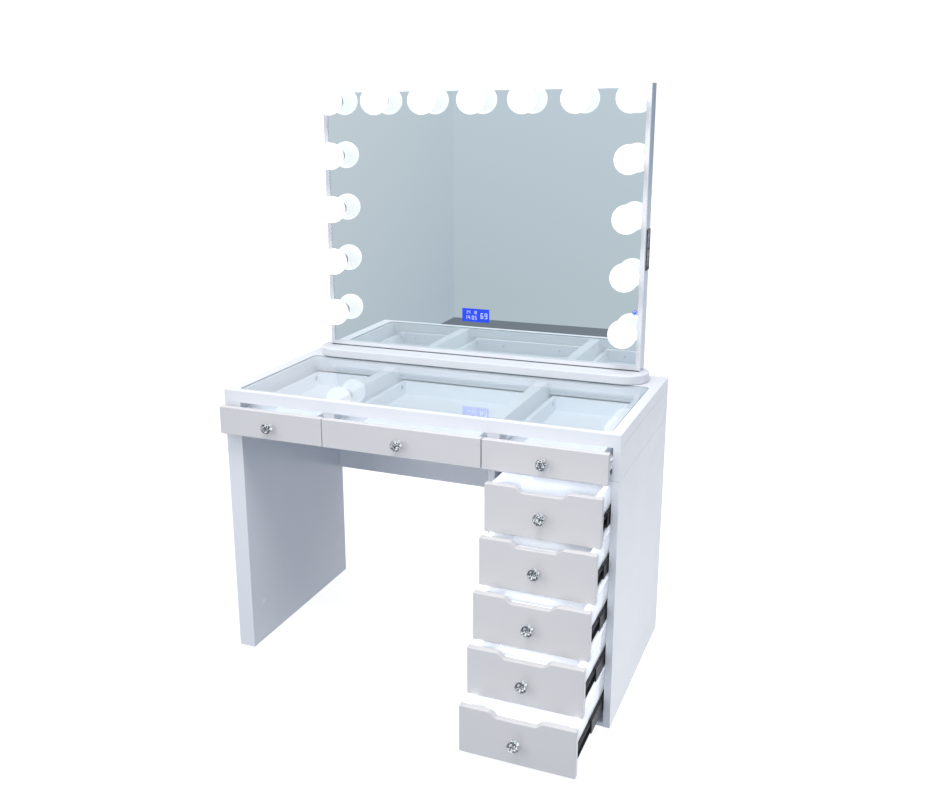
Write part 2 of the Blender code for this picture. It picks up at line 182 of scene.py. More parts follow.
def blank(name):
    """A new material with its output, and the coordinates its patterns lie in."""
    mat = bpy.data.materials.new(name)
    mat.use_nodes = True
    # Glowing surfaces aren't sampled as lamps, so they light their surroundings through bounces alone.
    mat.cycles.emission_sampling = "NONE"
    tree = mat.node_tree
    tree.nodes.clear()
    output = add(tree, "OutputMaterial")
    return mat, tree, output, add(tree, "TexCoord").outputs["Object"]


def clouds(tree, place, pitch, detail=2.0, rough=0.5):
    """Soft irregular pattern whose patches are about a given number of millimetres wide."""
    noise = {"Vector": place, "Scale": per_metre(pitch), "Detail": detail, "Roughness": rough}
    return add(tree, "TexNoise", noise).outputs[0]


def between(tree, amount, low, high):
    """A value that follows a pattern from low to high."""
    # Noise keeps mostly to the middle of its range.
    span = {"Value": amount, "From Min": 0.3, "From Max": 0.7, "To Min": low, "To Max": high}
    return add(tree, "MapRange", span).outputs[0]


def blended(tree, amount, first, second):
    """A colour that follows a pattern from the first to the second."""
    return add(tree, "Mix", {0: amount, 6: first, 7: second}, data_type="RGBA").outputs[2]


def relief(tree, height, depth, strength=1.0):
    """Bump of a given depth in millimetres."""
    return add(tree, "Bump", {"Height": height, "Strength": strength, "Distance": depth * MM}).outputs[0]


def surface(tree, output, inputs):
    """The material's own shader, joined to its output."""
    shader = add(tree, "BsdfPrincipled", inputs)
    tree.links.new(shader.outputs[0], output.inputs[0])
    return shader


def sprayed_lacquer(name, white):
    # White polyurethane lacquer sprayed on MDF and rubbed down: an even film, faint orange peel, soft gloss.
    mat, tree, output, place = blank(name)
    tone = blended(tree, clouds(tree, place, 160, 3), rgba(white, 0.975), rgba(white, 1.015))
    # The orange peel is about 2 mm from crest to crest, drawn at 10 mm so that it shows.
    peel = clouds(tree, place, 10, 1)
    surface(tree, output, {
        "Base Color": tone,
        "Roughness": between(tree, clouds(tree, place, 45, 3), 0.30, 0.38),
        "Normal": relief(tree, peel, 0.01, 0.4),
        "IOR": 1.5,
        "Coat Weight": 0.2,
        "Coat Roughness": 0.15,
    })
    return mat


def foiled_board(c):
    # Melamine foil pressed on chipboard: matt white with a fine embossed grain along the board.
    mat, tree, output, place = blank("melamine_foil")
    stretched = add(tree, "Mapping", {"Vector": place, "Scale": (1.0, 0.12, 1.0)}).outputs[0]
    grain = clouds(tree, stretched, 1.6, 2)
    surface(tree, output, {
        "Base Color": blended(tree, grain, rgba(c.lacquer_inside, 0.97), rgba(c.lacquer_inside, 1.02)),
        "Roughness": between(tree, grain, 0.42, 0.52),
        "Normal": relief(tree, grain, 0.03, 0.4),
        "IOR": 1.46,
    })
    return mat


def through_glass(tree, output, glass, tint):
    """Lets the lamps shine through a pane, as clear glass does, while the eye sees it refract."""
    clear = add(tree, "BsdfTransparent", {"Color": rgba(tint)}).outputs[0]
    shadow = add(tree, "LightPath").outputs["Is Shadow Ray"]
    mixed = add(tree, "MixShader", {0: shadow, 1: glass.outputs[0], 2: clear})
    tree.links.new(mixed.outputs[0], output.inputs[0])


def float_glass(c):
    # Toughened float glass: clear, very smooth, with a pale blue-green body.
    mat, tree, output, _ = blank("float_glass")
    glass = surface(tree, output, {
        "Base Color": rgba(c.glass),
        "Roughness": 0.0,
        "IOR": 1.52,
        "Transmission Weight": 1.0,
    })
    through_glass(tree, output, glass, c.glass)
    return mat


def ground_glass_edge(c):
    # Ground and polished glass edge: the long way through the pane shows its green.
    mat, tree, output, place = blank("ground_glass_edge")
    surface(tree, output, {
        "Base Color": blended(tree, clouds(tree, place, 30, 2), rgba(c.glass_edge, 0.94), rgba(c.glass_edge)),
        "Roughness": 0.16,
        "IOR": 1.52,
        "Transmission Weight": 0.55,
    })
    return mat


def silvered_mirror(c):
    # Silvered float glass: an almost perfect mirror with a hint of green and a trace of wiping marks.
    mat, tree, output, place = blank("silvered_mirror")
    wiped = clouds(tree, place, 220, 4, 0.6)
    surface(tree, output, {
        "Base Color": rgba(c.mirror),
        "Metallic": 1.0,
        "Roughness": between(tree, wiped, 0.0, 0.012),
    })
    return mat


def silver_paint(c):
    # Silver stoving paint on sheet steel: a fine flake sparkle over a cool grey, half gloss.
    mat, tree, output, place = blank("silver_stoving_paint")
    # The flake is about 0.1 mm, drawn at 1.2 mm so that it shows.
    flake = add(tree, "TexVoronoi", {"Vector": place, "Scale": per_metre(1.2)}).outputs["Color"]
    dull = add(tree, "RGBToBW", {"Color": flake}).outputs[0]
    surface(tree, output, {
        "Base Color": blended(tree, dull, rgba(c.housing, 0.94), rgba(c.housing, 1.05)),
        "Metallic": 0.35,
        "Roughness": between(tree, dull, 0.34, 0.46),
        "Normal": relief(tree, clouds(tree, place, 2.5, 2), 0.03, 0.5),
    })
    return mat


def black_zinc(c):
    # Black passivated zinc on formed steel: near black, half metallic, with oily streaks along its length.
    mat, tree, output, place = blank("black_zinc_steel")
    along = add(tree, "Mapping", {"Vector": place, "Scale": (1.0, 0.08, 1.0)}).outputs[0]
    streak = clouds(tree, along, 5, 3)
    surface(tree, output, {
        "Base Color": blended(tree, streak, rgba(c.slide, 0.8), rgba(c.slide, 1.5)),
        "Metallic": 0.35,
        "Roughness": between(tree, streak, 0.34, 0.5),
        "Normal": relief(tree, streak, 0.02, 0.4),
    })
    return mat


def bright_zinc(c):
    # Bright zinc plate on screws, cams and balls: pale bluish metal, a little dull.
    mat, tree, output, place = blank("bright_zinc")
    haze = clouds(tree, place, 3, 2)
    surface(tree, output, {
        "Base Color": blended(tree, haze, rgba(c.zinc, 0.9), rgba(c.zinc)),
        "Metallic": 1.0,
        "Roughness": between(tree, haze, 0.29, 0.38),
    })
    return mat


def white_epoxy(c):
    # Epoxy powder on the roller runners of the shallow drawers: white, with the soft ripple of powder.
    mat, tree, output, place = blank("white_epoxy_powder")
    ripple = clouds(tree, place, 1.8, 2)
    surface(tree, output, {
        "Base Color": blended(tree, ripple, rgba(c.fitting, 0.96), rgba(c.fitting)),
        "Roughness": between(tree, ripple, 0.35, 0.45),
        "Normal": relief(tree, ripple, 0.04, 0.5),
        "IOR": 1.5,
    })
    return mat


def chrome_plate(c):
    # Chrome on die-cast zinc: a bright hard mirror finish with a trace of handling.
    mat, tree, output, place = blank("chrome_plate")
    surface(tree, output, {
        "Base Color": rgba(c.chrome),
        "Metallic": 1.0,
        "Roughness": between(tree, clouds(tree, place, 6, 2), 0.03, 0.09),
    })
    return mat


def cut_crystal(c):
    # Cut and polished lead glass: flat facets that throw dark and white sparkle.
    mat, tree, output, _ = blank("cut_crystal")
    glass = surface(tree, output, {
        "Base Color": rgba(c.crystal),
        "Roughness": 0.0,
        "IOR": 1.58,
        "Transmission Weight": 1.0,
    })
    through_glass(tree, output, glass, c.crystal)
    return mat


def moulded_abs(name, tone):
    # Injection-moulded ABS with a spark-eroded matt skin.
    mat, tree, output, place = blank(name)
    # The erosion pits are about 0.05 mm, drawn at 0.9 mm so that they show.
    pits = clouds(tree, place, 0.9, 2)
    surface(tree, output, {
        "Base Color": blended(tree, pits, rgba(tone, 0.9), rgba(tone, 1.1)),
        "Roughness": between(tree, pits, 0.38, 0.52),
        "Normal": relief(tree, pits, 0.03, 0.6),
        "IOR": 1.53,
    })
    return mat


def opal_globe(c):
    # Flashed opal glass round a lit lamp: an even white glow under a thin clear gloss.
    mat, tree, output, place = blank("opal_globe")
    body = blended(tree, clouds(tree, place, 35, 2), rgba(c.lamp, 0.30), rgba(c.lamp, 0.34))
    surface(tree, output, {
        "Base Color": body,
        "Roughness": 0.18,
        "IOR": 1.5,
        "Emission Color": rgba(c.lamp),
        "Emission Strength": 0.9,
    })
    return mat


def backlit_display(name, tone, strength, low):
    # Liquid-crystal pane lit from behind, with a fine grid of cells.
    mat, tree, output, place = blank(name)
    cells = {"Vector": place, "Scale": per_metre(0.8), "Color1": rgba(tone, low * 0.3), "Color2": rgba(tone, 0.3)}
    grid = add(tree, "TexChecker", cells)
    surface(tree, output, {
        "Base Color": grid.outputs[0],
        "Roughness": 0.2,
        "Emission Color": rgba(tone),
        "Emission Strength": strength,
    })
    return mat


def facet_painted_reflection(c):
    # Facet of cut glass with a painted dark reflection of the room: a dark grey, half-metallic coat stands in for the
    # dark that the facet would reflect.
    mat, tree, output, place = blank("facet_painted_reflection")
    surface(tree, output, {
        "Base Color": blended(tree, clouds(tree, place, 5, 1), rgba(c.facet_painted_dark, 0.7), rgba(c.facet_painted_dark, 1.4)),
        "Roughness": 0.06,
        "Metallic": 0.5,
        "Coat Weight": 1.0,
    })
    return mat


def rubber_painted_shadow(c):
    # Pressed rubber strip: dark grey, matt, a little dusty. Its dark paints the shadow lines under the mirror and under
    # its base plate.
    mat, tree, output, place = blank("rubber_painted_shadow")
    dust = clouds(tree, place, 4, 3)
    surface(tree, output, {
        "Base Color": blended(tree, dust, rgba(c.shadow_strip_rubber, 0.85), rgba(c.shadow_strip_rubber, 1.2)),
        "Roughness": between(tree, dust, 0.6, 0.8),
        "IOR": 1.52,
    })
    return mat


MAKERS = {
    "facet_painted_dark": facet_painted_reflection,
    "shadow_strip_rubber": rubber_painted_shadow,
    "lacquer": lambda c: sprayed_lacquer("sprayed_lacquer", c.lacquer),
    "front": lambda c: sprayed_lacquer("sprayed_front_lacquer", c.front),
    "foil": foiled_board,
    "glass": float_glass,
    "glass_edge": ground_glass_edge,
    "mirror": silvered_mirror,
    "silver": silver_paint,
    "slide": black_zinc,
    "zinc": bright_zinc,
    "epoxy": white_epoxy,
    "chrome": chrome_plate,
    "crystal": cut_crystal,
    "socket": lambda c: moulded_abs("socket_abs", c.socket),
    "socket_face": lambda c: moulded_abs("socket_insert_abs", c.socket_face),
    "fitting": lambda c: moulded_abs("white_abs", c.fitting),
    "globe": opal_globe,
    "display": lambda c: backlit_display("display_backlight", c.display, 0.8, 0.9),
    "digits": lambda c: backlit_display("display_digits", c.digits, 0.9, 0.95),
}
FINISHES = {}


def finish(name):
    """The finish of that name, made when it is first asked for."""
    if name not in FINISHES:
        FINISHES[name] = MAKERS[name](bpy.context.scene.station_colours)
    return FINISHES[name]


def dress(node, name):
    """Gives a carried-over solid its finish."""
    obj = frame["nodes"][node]
    if not obj.material_slots:
        obj.data.materials.append(None)
    for slot in obj.material_slots:
        slot.material = finish(name)


class Shape:
    """A piece under construction, in the shared frame, with one material slot for each finish."""

    def __init__(self, name, *finishes):
        self.name = name
        self.finishes = finishes
        self.bm = bmesh.new()

    def paint(self, faces, number, smooth=True):
        """Gives faces one of the piece's finishes."""
        for face in faces:
            face.material_index = number
            face.smooth = smooth

    def slab(self, outline, axis, span, number=0):
        """A flat outline of (u, v) points made thick along one axis."""
        order = {"X": (2, 0, 1), "Y": (0, 2, 1), "Z": (0, 1, 2)}[axis]
        rings = []
        for w in span:
            ring = []
            for u, v in outline:
                point = (u, v, w)
                ring.append(self.bm.verts.new([point[i] for i in order]))
            rings.append(ring)
        low, high = rings
        faces = [self.bm.faces.new(low), self.bm.faces.new(list(reversed(high)))]
        for i in range(len(low)):
            j = (i + 1) % len(low)
            faces.append(self.bm.faces.new((low[j], low[i], high[i], high[j])))
        bmesh.ops.recalc_face_normals(self.bm, faces=faces)
        self.paint(faces, number)
        return faces

    def board(self, low, high, number=0):
        """A rectangular board between two corners."""
        outline = ((low[0], low[1]), (high[0], low[1]), (high[0], high[1]), (low[0], high[1]))
        return self.slab(outline, "Z", (low[2], high[2]), number)

    def turned(self, profile, at, turn, steps, number=0):
        """A turned piece. Its profile of (height, radius) runs between two points on the axis."""
        rings = []
        move = Matrix.Translation(at) @ turn
        for height, radius in profile:
            count = steps if radius else 1
            angles = [math.tau * i / steps for i in range(count)]
            points = [move @ Vector((radius * math.cos(a), radius * math.sin(a), height)) for a in angles]
            rings.append([self.bm.verts.new(p) for p in points])
        faces = []
        for one, two in zip(rings, rings[1:]):
            for i in range(steps):
                j = (i + 1) % steps
                corners = [one[i % len(one)], one[j % len(one)], two[j % len(two)], two[i % len(two)]]
                faces.append(self.bm.faces.new(list(dict.fromkeys(corners))))
        bmesh.ops.recalc_face_normals(self.bm, faces=faces)
        self.paint(faces, number)

    def hull(self, points, number=0):
        """A cut stone: the flat faces that wrap a set of points."""
        verts = [self.bm.verts.new(p) for p in points]
        made = bmesh.ops.convex_hull(self.bm, input=verts)["geom"]
        faces = [g for g in made if isinstance(g, bmesh.types.BMFace)]
        bmesh.ops.recalc_face_normals(self.bm, faces=faces)
        self.paint(faces, number, False)

    def ball(self, at, radius, number=0):
        """A small steel ball."""
        made = bmesh.ops.create_icosphere(self.bm, subdivisions=1, radius=radius, matrix=Matrix.Translation(at))
        self.paint({f for v in made["verts"] for f in v.link_faces}, number)

    def made(self, edge=0.0, segments=2):
        """The finished object, with its sharp edges rounded."""
        data = bpy.data.meshes.new(self.name)
        self.bm.to_mesh(data)
        self.bm.free()
        for name in self.finishes:
            data.materials.append(finish(name))
        obj = bpy.data.objects.new(self.name, data)
        bpy.context.scene.collection.objects.link(obj)
        if edge:
            rounding = obj.modifiers.new("rounded_edges", "BEVEL")
            rounding.width = edge
            rounding.segments = segments
            rounding.limit_method = "ANGLE"
            rounding.angle_limit = math.radians(38)
            rounding.harden_normals = True
        return obj


def mount(obj, body, slot, *nodes):
    """Fixes a piece to its body and hides the solids that it stands for; the slot is not used."""
    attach(obj, body)
    if nodes:
        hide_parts(*nodes)
    return obj


def carve(obj, cutter):
    """Cuts one piece with another and throws the cutter away."""
    step = obj.modifiers.new("carve", "BOOLEAN")
    step.operation = "DIFFERENCE"
    step.solver = "EXACT"
    step.object = cutter
    graph = bpy.context.evaluated_depsgraph_get()
    data = bpy.data.meshes.new_from_object(obj.evaluated_get(graph), depsgraph=graph)
    obj.modifiers.clear()
    obj.data = data
    bpy.data.objects.remove(cutter)
    if not data.polygons:
        raise RuntimeError(obj.name + " was cut away")


def round_outline(x0, x1, y0, y1, radius, steps=8):
    """Rectangle with round corners."""
    points = []
    corners = ((x1, y0, -1, 1, -90), (x1, y1, -1, -1, 0), (x0, y1, 1, -1, 90), (x0, y0, 1, 1, 180))
    for x, y, dx, dy, start in corners:
        for i in range(steps + 1):
            turn = math.radians(start + 90 * i / steps)
            points.append((x + dx * radius + radius * math.cos(turn), y + dy * radius + radius * math.sin(turn)))
    return points


def screw_head(shape, at, turn, radius, number=0):
    """Pan-head screw with a cross recess."""
    r = radius
    profile = [(0.0, 0.0), (0.0, r), (r * 0.25, r), (r * 0.5, r * 0.82), (r * 0.62, r * 0.5), (r * 0.62, r * 0.24)]
    profile += [(r * 0.2, r * 0.1), (r * 0.2, 0.0)]
    shape.turned([(h - 0.05 * MM, w) for h, w in profile], at, turn, 12, number)


def front_outline(s, low, high):
    """Drawer front with a shallow finger dip in its upper edge, eased at both shoulders."""
    middle = (low.x + high.x) / 2 + s.notch_shift
    points = [(low.x, low.z), (high.x, low.z), (high.x, high.z)]
    steps = 14
    for side in (1, -1):
        shoulder = []
        for i in range(steps + 1):
            t = i / steps
            ease = t * t * (3 - 2 * t)
            shoulder.append((middle + side * (s.notch_half - s.notch_run * t), high.z - s.notch_depth * ease))
        points += shoulder if side == 1 else shoulder[::-1]
    return points + [(low.x, high.z)]


def tray(name, s, low, high, lip):
    """Drawer box: two sides, back and lower inner front, round a floor set in grooves."""
    shape = Shape(name, "foil")
    wall, seam = s.wall, 0.1 * MM
    shape.board((low.x, low.y, low.z), (low.x + wall, high.y, high.z))
    shape.board((high.x - wall, low.y, low.z), (high.x, high.y, high.z))
    inner = (low.x + wall + seam, high.x - wall - seam)
    shape.board((inner[0], high.y - wall, low.z), (inner[1], high.y, high.z))
    shape.board((inner[0], low.y, low.z), (inner[1], low.y + wall, high.z - lip))
    floor = low.z + 6 * MM
    shape.board((inner[0], low.y + wall + seam, floor), (inner[1], high.y - wall - seam, floor + 6 * MM))
    return shape.made(0.7 * MM)


def tray_fittings(name, s, low, high):
    """Cam locks inside the drawer sides and the screws that hold the front."""
    shape = Shape(name, "zinc")
    wall = s.wall
    middle = (low.z + high.z) / 2
    for x, turn in ((low.x + wall, TO_RIGHT), (high.x - wall, TO_LEFT)):
        for y in (low.y + 34 * MM, high.y - 34 * MM):
            z = middle + 12 * MM
            lock = [(-0.3, 0.0), (-0.3, 7.4), (0.0, 7.4), (0.7, 6.9), (0.7, 2.4), (0.3, 2.0), (0.3, 0.0)]
            shape.turned(scaled(lock), (x, y, z), turn, 20)
    for share in (0.25, 0.75):
        x = low.x + (high.x - low.x) * share
        screw_head(shape, (x, low.y + wall, low.z + 30 * MM), TO_BACK, 4 * MM)
    return shape.made()


def race(web, lip, z, half, sheet, turned_in):
    """Section of a formed slide member: a web with two flanges whose ends turn in round the balls."""
    s = 1 if lip > web else -1
    end = lip - s * sheet
    face = web + s * sheet
    lower = [(web, z - half), (lip, z - half), (lip, z - half + sheet + turned_in), (end, z - half + sheet + turned_in)]
    lower += [(end, z - half + sheet), (face, z - half + sheet)]
    return lower + [(x, 2 * z - height) for x, height in reversed(lower)]


def ball_row(shape, x, z, ys, s, radius, cage):
    """Balls in a thin cage strip between two members."""
    count = int((ys[1] - ys[0]) / s.ball_pitch)
    for i in range(count):
        shape.ball((x, ys[0] + s.ball_pitch * (i + 0.5), z), radius, 1)
    half = cage / 2
    shape.board((x - half, ys[0], z - 0.35 * MM), (x + half, ys[1], z + 0.35 * MM), 1)


class STATION_OT_boards(bpy.types.Operator):
    """Finish the boards of the desk and add its cam covers and back screws"""

    bl_idname = "station.boards"
    bl_label = "Boards"

    def execute(self, context):
        for node in LACQUERED_BOARDS:
            dress(node, "lacquer")
        for side in SIDES:
            dress("bay_divider_" + side, "foil")
        self.cam_covers()
        self.back_screws()
        self.closing_rails()
        return {"FINISHED"}

    def closing_rails(self):
        """Rails under the back of the top frame that close the cavity behind the shallow drawers."""
        shape = Shape("bay_closing_rails", "foil")
        frame_low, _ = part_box("top_frame")
        for side in TOP_NAMES:
            low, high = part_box("bay_slides_" + side)
            back = high.y + 2 * MM
            shape.board((low.x, back, frame_low.z - 15 * MM), (high.x, back + 10 * MM, frame_low.z - 0.4 * MM))
        mount(shape.made(0.5 * MM), "desk", "lacquer_inside")

    def cam_covers(self):
        """Push-in plastic covers over the cams inside the kneehole."""
        shape = Shape("cam_covers", "fitting")
        low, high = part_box("left_leg")
        inner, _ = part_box("pedestal_side_inner")
        dome = scaled([(-0.2, 0.0), (-0.2, 8.5), (0.4, 8.5), (0.8, 7.6), (1.0, 4.0), (1.0, 0.0)])
        for y in (low.y + 60 * MM, high.y - 60 * MM):
            for z in (high.z - 34 * MM, low.z + 120 * MM):
                shape.turned(dome, (high.x, y, z), TO_RIGHT, 24)
                shape.turned(dome, (inner.x, y, z), TO_LEFT, 24)
        mount(shape.made(), "desk", "lacquer")

    def back_screws(self):
        """Screws along the edges of the back board."""
        shape = Shape("back_board_screws", "zinc")
        low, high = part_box("back_board")
        top = high.z - 9 * MM
        spots = [(low.x + (high.x - low.x) * (i + 0.5) / 8, top) for i in range(8)]
        pedestal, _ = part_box("pedestal_side_inner")
        for x in (pedestal.x + 12 * MM, high.x - 9 * MM):
            spots += [(x, z * MM) for z in (40, 200, 360, 520)]
        recess = [(-0.3, 0.0), (-0.3, 4.0), (0.0, 4.0), (0.05, 3.6), (0.05, 1.4), (-0.15, 0.9), (-0.15, 0.0)]
        for x, z in spots:
            shape.turned(scaled(recess), (x, high.y, z), TO_BACK, 12)
        mount(shape.made(), "desk", "slide_steel")


class STATION_OT_glass_top(bpy.types.Operator):
    """Lay the glass top in its frame"""

    bl_idname = "station.glass_top"
    bl_label = "Glass top"

    def execute(self, context):
        s = context.scene.station_sizes
        low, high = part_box("glass_top")
        shape = Shape("glass_pane", "glass", "glass_edge")
        faces = shape.slab(round_outline(low.x, high.x, low.y, high.y, 15.5 * MM), "Z", (low.z, high.z))
        shape.paint([f for f in faces if abs(f.normal.z) < 0.5], 1)
        mount(shape.made(s.glass_arris), "desk", "clear_glass", "glass_top")
        return {"FINISHED"}


class STATION_OT_fronts(bpy.types.Operator):
    """Make the drawer fronts, plain above and with a finger dip in the pedestal"""

    bl_idname = "station.fronts"
    bl_label = "Drawer fronts"

    def execute(self, context):
        s = context.scene.station_sizes
        for name in TOP_DRAWERS + PEDESTAL_DRAWERS:
            low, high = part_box(name + "_front")
            shape = Shape(name + "_face", "front")
            if name.startswith("top"):
                shape.board(low, high)
            else:
                shape.slab(front_outline(s, low, high), "Y", (low.y, high.y))
            mount(shape.made(s.front_edge, 3), name, "lacquer", name + "_front")
        return {"FINISHED"}


# The drawer boxes that one softbox lights alone.
LIT_BOXES = "lit_boxes"


class STATION_OT_boxes(bpy.types.Operator):
    """Make the drawer boxes with their fittings and the slide members fixed to them"""

    bl_idname = "station.boxes"
    bl_label = "Drawer boxes"

    def execute(self, context):
        s = context.scene.station_sizes
        lit = bpy.data.collections[LIT_BOXES].objects
        for name in TOP_DRAWERS:
            self.box(s, name, 0.0, 11.5 * MM, "epoxy")
            lit.link(bpy.data.objects[name + "_members"])
        for name in PEDESTAL_DRAWERS:
            self.box(s, name, s.lip, 13.0 * MM, "slide")
            for piece in ("_tray", "_fittings", "_members"):
                lit.link(bpy.data.objects[name + piece])
        return {"FINISHED"}

    def box(self, s, name, lip, half, coat):
        """One drawer's tray and fittings, and the slide members on its two sides."""
        low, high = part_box(name + "_box")
        inside_low = Vector((low.x + s.member_out, low.y, low.z))
        inside_high = Vector((high.x - s.member_out, high.y, high.z))
        mount(tray(name + "_tray", s, inside_low, inside_high, lip), name, "lacquer_inside", name + "_box")
        mount(tray_fittings(name + "_fittings", s, inside_low, inside_high), name, "slide_steel")
        front_low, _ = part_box(name + "_front")
        z = front_low.z + 50 * MM if name.startswith("drawer") else low.z + 21.5 * MM
        shape = Shape(name + "_members", coat, "zinc")
        ys = (low.y + 1 * MM, high.y - 3 * MM)
        for web, lip_x, turn in ((inside_low.x, low.x, TO_LEFT), (inside_high.x, high.x, TO_RIGHT)):
            shape.slab(race(web, lip_x, z, half, s.sheet, 0.8 * MM), "Y", ys)
            self.details(s, shape, web, turn, z, ys, half)
        mount(shape.made(0.5 * MM), name, "slide_steel")

    def details(self, s, shape, web, turn, z, ys, half):
        """Screws in the web, a pressed stop at the front and the release lever."""
        out = -1 if turn is TO_LEFT else 1
        face = web + out * s.sheet
        for share in (0.05, 0.3, 0.62, 0.93):
            y = ys[0] + (ys[1] - ys[0]) * share
            screw_head(shape, (face, y, z), turn, 3.6 * MM, 1)
        stop = sorted((web + out * 0.2 * MM, web + out * 6.5 * MM))
        shape.board((stop[0], ys[0] + 1 * MM, z - half + 2.5 * MM), (stop[1], ys[0] + 6 * MM, z + half - 2.5 * MM))
        lever = sorted((face, web + out * 4.2 * MM))
        mid = (ys[0] + ys[1]) / 2
        shape.board((lever[0], mid - 34 * MM, z + 2.2 * MM), (lever[1], mid + 30 * MM, z + 5.4 * MM))


class STATION_OT_slides(bpy.types.Operator):
    """Make the ball slides of the pedestal and the runners of the shallow drawers"""

    bl_idname = "station.slides"
    bl_label = "Slides"

    def execute(self, context):
        s = context.scene.station_sizes
        for side, out in zip(SIDES, (1, -1)):
            rack_low, rack_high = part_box("slide_rack_" + side)
            web, lip = (rack_low.x, rack_high.x) if out > 0 else (rack_high.x, rack_low.x)
            turn = TO_RIGHT if out > 0 else TO_LEFT
            fixed = Shape("slide_rack_%s_members" % side, "slide", "zinc")
            for i in DRAWERS:
                low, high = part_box("slide_%d_%s" % (i, side))
                z = (low.z + high.z) / 2
                fixed.slab(race(web, lip, z, 22.4 * MM, s.sheet, 0.9 * MM), "Y", (rack_low.y, rack_high.y))
                for share in (0.05, 0.35, 0.65, 0.95):
                    y = rack_low.y + (rack_high.y - rack_low.y) * share
                    screw = scaled([(0.0, 0.0), (0.0, 3.4), (0.4, 3.0), (0.5, 1.2), (0.5, 0.0)])
                    fixed.turned(screw, (web + out * s.sheet, y, z), turn, 12, 1)
                for above in (-1, 1):
                    ys = (rack_low.y + 4 * MM, rack_low.y + 130 * MM)
                    ball_row(fixed, web + out * 5.6 * MM, z + above * 19.5 * MM, ys, s, 1.2 * MM, 3 * MM)
                self.middle(s, i, side, low, high, z, out)
            mount(fixed.made(0.45 * MM), "desk", "slide_steel", "slide_rack_" + side)
        for side in TOP_NAMES:
            self.runner(side)
        return {"FINISHED"}

    def middle(self, s, i, side, low, high, z, out):
        """Middle member of one ball slide, which travels half as far as its drawer."""
        shape = Shape("slide_%d_%s_member" % (i, side), "slide", "zinc")
        web, lip = (low.x, high.x) if out > 0 else (high.x, low.x)
        shape.slab(race(web, lip, z, 18 * MM, s.sheet, 1.0 * MM), "Y", (low.y, high.y))
        face = web + out * s.sheet
        for y in (low.y + 9 * MM, high.y - 9 * MM):
            pad = sorted((face - out * 0.2 * MM, face + out * 0.7 * MM))
            shape.board((pad[0], y - 5 * MM, z - 10 * MM), (pad[1], y + 5 * MM, z + 10 * MM))
        ys = (low.y + 4 * MM, low.y + 210 * MM)
        for above in (-1, 1):
            ball_row(shape, web + out * 5.2 * MM, z + above * 14.8 * MM, ys, s, 1.45 * MM, 3.2 * MM)
        name = "slide_%d_%s" % (i, side)
        mount(shape.made(0.45 * MM), name, "slide_steel", name)

    def runner(self, side):
        """Fixed white runner on both sides of a bay, with its roller at the front."""
        low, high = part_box("bay_slides_" + side)
        shape = Shape("bay_runners_" + side, "epoxy", "fitting")
        for web, out, turn in ((low.x, 1, TO_RIGHT), (high.x, -1, TO_LEFT)):
            lip = web + out * 9.2 * MM
            thick = 1.5 * MM
            section = [(web, low.z), (lip, low.z), (lip, low.z + thick), (web + out * thick, low.z + thick)]
            section += [(web + out * thick, high.z - thick), (lip, high.z - thick), (lip, high.z), (web, high.z)]
            shape.slab(section, "Y", (low.y, high.y))
            wheel = scaled([(0.0, 0.0), (0.0, 5.5), (1.0, 6.0), (5.4, 6.0), (6.4, 5.2), (6.4, 0.0)])
            shape.turned(wheel, (web + out * thick, low.y + 12 * MM, low.z + 9 * MM), turn, 24, 1)
        mount(shape.made(0.4 * MM), "desk", "slide_steel", "bay_slides_" + side)


# Finish slots in turn over the facets of a stone: clear, dark with a painted reflection of the room, and bright chrome.
FACETS = (0, 1, 2, 0, 1, 0, 2)


class STATION_OT_knobs(bpy.types.Operator):
    """Make the cut-glass knobs with their chrome feet"""

    bl_idname = "station.knobs"
    bl_label = "Knobs"

    def execute(self, context):
        s = context.scene.station_sizes
        for name in TOP_DRAWERS + PEDESTAL_DRAWERS:
            low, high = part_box(name + "_knob")
            root = Vector(((low.x + high.x) / 2, high.y, (low.z + high.z) / 2))
            mount(self.stone(s, name, root), name, "crystal", name + "_knob")
            mount(self.foot(name, root), name, "mirror")
        return {"FINISHED"}

    def stone(self, s, name, root):
        """Brilliant cut: table, star, bezel, girdle and pavilion rings, each turned half a step."""
        # The second finish paints a dark reflection of the room on some of the facets.
        shape = Shape(name + "_knob_stone", "crystal", "facet_painted_dark", "chrome")
        sides = 10
        r, tip = s.knob_radius, s.knob_out
        rings = ((tip, 0.40, 0), (tip - 2.3 * MM, 0.70, 1), (tip - 6.0 * MM, 0.93, 0), (tip - 9.5 * MM, 1.0, 1))
        rings += ((tip - 11.5 * MM, 1.0, 0), (tip - 15.5 * MM, 0.80, 1), (tip - 19.0 * MM, 0.52, 0))
        move = Matrix.Translation(root) @ TO_FRONT
        points = []
        for height, share, shifted in rings:
            for i in range(sides):
                angle = math.tau * (i + 0.5 * shifted) / sides
                points.append(move @ Vector((r * share * math.cos(angle), r * share * math.sin(angle), height)))
        shape.hull(points)
        shape.bm.normal_update()
        shape.bm.faces.ensure_lookup_table()
        middles = {face: face.calc_center_median() for face in shape.bm.faces}
        outwards = sorted(shape.bm.faces, key=lambda face: (round(middles[face].y, 4), middles[face].x))
        for i, face in enumerate(outwards):
            face.material_index = FACETS[i * 5 % len(FACETS)]
        return shape.made()

    def foot(self, name, root):
        """Turned chrome foot between the drawer front and the stone."""
        shape = Shape(name + "_knob_foot", "chrome")
        profile = [(0.0, 0.0), (0.0, 10.5), (1.0, 10.5), (1.8, 9.9), (2.4, 8.4), (3.6, 6.6), (5.6, 5.8), (7.2, 6.2)]
        profile += [(8.2, 7.8), (9.0, 9.0), (9.8, 9.3), (10.6, 9.0), (10.8, 8.0), (10.4, 0.0)]
        shape.turned(scaled(profile), root, TO_FRONT, 32)
        return shape.made()


